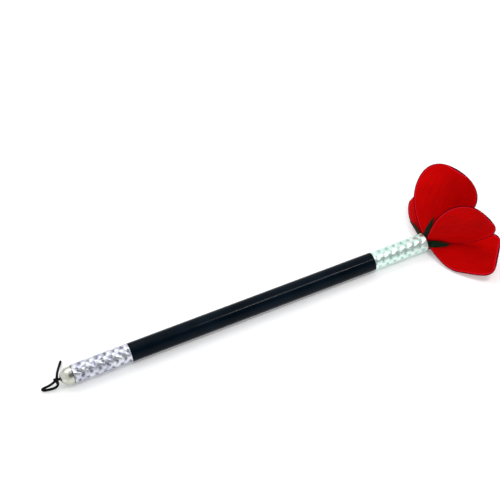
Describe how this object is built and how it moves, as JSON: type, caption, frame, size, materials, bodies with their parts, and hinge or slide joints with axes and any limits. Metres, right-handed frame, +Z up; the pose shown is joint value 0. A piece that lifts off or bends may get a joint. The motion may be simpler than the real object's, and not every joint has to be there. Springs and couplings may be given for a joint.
{
  "type": "flower wand",
  "caption": "Magician's flower wand: a hollow black tube with foil-wrapped ends, a domed cap with a knotted finger cord, and a cloth flower that slides out of the mouth.",
  "frame": {"origin": "middle of the tube, on its axis", "axes": "+X along the wand, out of the mouth towards the flower; +Z up with the wand lying on a table; +Y across it"},
  "size_m": [0.3794, 0.1002, 0.0651],
  "materials": {
    "tube": "gloss black",
    "front_foil": "silver foil with a cool mint tint and a small lens pattern",
    "rear_foil": "silver foil with a small lens pattern",
    "cap": "pearl metallic finish",
    "plunger": "moulded",
    "stem": "moulded, green",
    "calyx": "moulded, dark green",
    "core": "moulded, yellow green",
    "stamen": "stiffened thread, yellow",
    "elastic": "braided cover over elastic",
    "petal": "stiffened woven cloth, red"
  },
  "bodies": {
    "wand": {"tube": "tube", "front_band": "front_foil", "rear_band": "rear_foil", "end_cap": "cap"},
    "flower": {"plunger": "plunger", "stem": "stem", "calyx": "calyx", "flower_core": "core", "stamens": "stamen", "inner_cord": "elastic", "anchor_knot": "elastic", "cord_knot": "elastic", "cord_loop": "elastic", "cord_tail": "elastic"},
    "sepal_1": {"sepal_1": "calyx"},
    "sepal_2": {"sepal_2": "calyx"},
    "sepal_3": {"sepal_3": "calyx"},
    "sepal_4": {"sepal_4": "calyx"},
    "sepal_5": {"sepal_5": "calyx"},
    "petal_1": {"petal_1": "petal"},
    "petal_2": {"petal_2": "petal"},
    "petal_3": {"petal_3": "petal"},
    "petal_4": {"petal_4": "petal"},
    "petal_5": {"petal_5": "petal"},
    "inner_petal_1": {"inner_petal_1": "petal"},
    "inner_petal_2": {"inner_petal_2": "petal"},
    "inner_petal_3": {"inner_petal_3": "petal"}
  },
  "joints": [
    {"name": "flower_slide", "type": "slide", "parent": "wand", "child": "flower", "axis": [1, 0, 0], "range_m": [-0.076, 0]},
    {"name": "sepal_1_fold", "type": "hinge", "parent": "flower", "child": "sepal_1", "pos_m": [0.1529, -0.0053, 0.0027], "axis": [0, 0.454, 0.891], "range_deg": [0, 46], "deforming": ["sepal_1"]},
    {"name": "sepal_2_fold", "type": "hinge", "parent": "flower", "child": "sepal_2", "pos_m": [0.1529, 0.00113, 0.00584], "axis": [0, 0.9816, -0.1908], "range_deg": [0, 62], "deforming": ["sepal_2"]},
    {"name": "sepal_3_fold", "type": "hinge", "parent": "flower", "child": "sepal_3", "pos_m": [0.1529, 0.00595, -0.00021], "axis": [0, -0.0349, -0.9994], "range_deg": [0, 86], "deforming": ["sepal_3"]},
    {"name": "sepal_4_fold", "type": "hinge", "parent": "flower", "child": "sepal_4", "pos_m": [0.1529, 0.00406, -0.00435], "axis": [0, -0.7314, -0.682], "range_deg": [0, 10], "deforming": ["sepal_4"]},
    {"name": "sepal_5_fold", "type": "hinge", "parent": "flower", "child": "sepal_5", "pos_m": [0.1529, -0.0052, -0.00288], "axis": [0, -0.4848, 0.8746], "range_deg": [0, 26], "deforming": ["sepal_5"]},
    {"name": "petal_1_fold", "type": "hinge", "parent": "flower", "child": "petal_1", "pos_m": [0.1544, 0.00111, 0.00321], "axis": [0, 0.9455, -0.3256], "range_deg": [0, 58], "deforming": ["petal_1"]},
    {"name": "petal_2_fold", "type": "hinge", "parent": "flower", "child": "petal_2", "pos_m": [0.154, -0.0019, 0.00282], "axis": [0, 0.829, 0.5592], "range_deg": [0, 62], "deforming": ["petal_2"]},
    {"name": "petal_3_fold", "type": "hinge", "parent": "flower", "child": "petal_3", "pos_m": [0.1544, -0.00328, 0.00091], "axis": [0, 0.2672, 0.9636], "range_deg": [0, 48], "deforming": ["petal_3"]},
    {"name": "petal_4_fold", "type": "hinge", "parent": "flower", "child": "petal_4", "pos_m": [0.1553, 0.00228, 0.00253], "axis": [0, 0.7431, -0.6691], "range_deg": [0, 62], "deforming": ["petal_4"]},
    {"name": "petal_5_fold", "type": "hinge", "parent": "flower", "child": "petal_5", "pos_m": [0.1559, 0.00333, 0.00071], "axis": [0, 0.2079, -0.9781], "range_deg": [0, 54], "deforming": ["petal_5"]},
    {"name": "inner_petal_1_fold", "type": "hinge", "parent": "flower", "child": "inner_petal_1", "pos_m": [0.1567, -0.00065, 0.00334], "axis": [0, 0.9816, 0.1908], "range_deg": [0, 30], "deforming": ["inner_petal_1"]},
    {"name": "inner_petal_2_fold", "type": "hinge", "parent": "flower", "child": "inner_petal_2", "pos_m": [0.1572, 0.0019, -0.00282], "axis": [0, -0.829, -0.5592], "range_deg": [0, 4], "deforming": ["inner_petal_2"]},
    {"name": "inner_petal_3_fold", "type": "hinge", "parent": "flower", "child": "inner_petal_3", "pos_m": [0.157, -0.00291, 0.00175], "axis": [0, 0.515, 0.8572], "range_deg": [0, 17], "deforming": ["inner_petal_3"]}
  ],
  "couplings": [
    {"joint": "sepal_1_fold", "follows": "flower_slide", "rad_per_m": -10.564},
    {"joint": "sepal_2_fold", "follows": "flower_slide", "rad_per_m": -14.238},
    {"joint": "sepal_3_fold", "follows": "flower_slide", "rad_per_m": -19.75},
    {"joint": "sepal_4_fold", "follows": "flower_slide", "rad_per_m": -2.296},
    {"joint": "sepal_5_fold", "follows": "flower_slide", "rad_per_m": -5.971},
    {"joint": "petal_1_fold", "follows": "flower_slide", "rad_per_m": -13.205},
    {"joint": "petal_2_fold", "follows": "flower_slide", "rad_per_m": -14.238},
    {"joint": "petal_3_fold", "follows": "flower_slide", "rad_per_m": -11.023},
    {"joint": "petal_4_fold", "follows": "flower_slide", "rad_per_m": -14.238},
    {"joint": "petal_5_fold", "follows": "flower_slide", "rad_per_m": -12.401},
    {"joint": "inner_petal_1_fold", "follows": "flower_slide", "rad_per_m": -6.889},
    {"joint": "inner_petal_2_fold", "follows": "flower_slide", "rad_per_m": -0.804},
    {"joint": "inner_petal_3_fold", "follows": "flower_slide", "rad_per_m": -3.789}
  ]
}
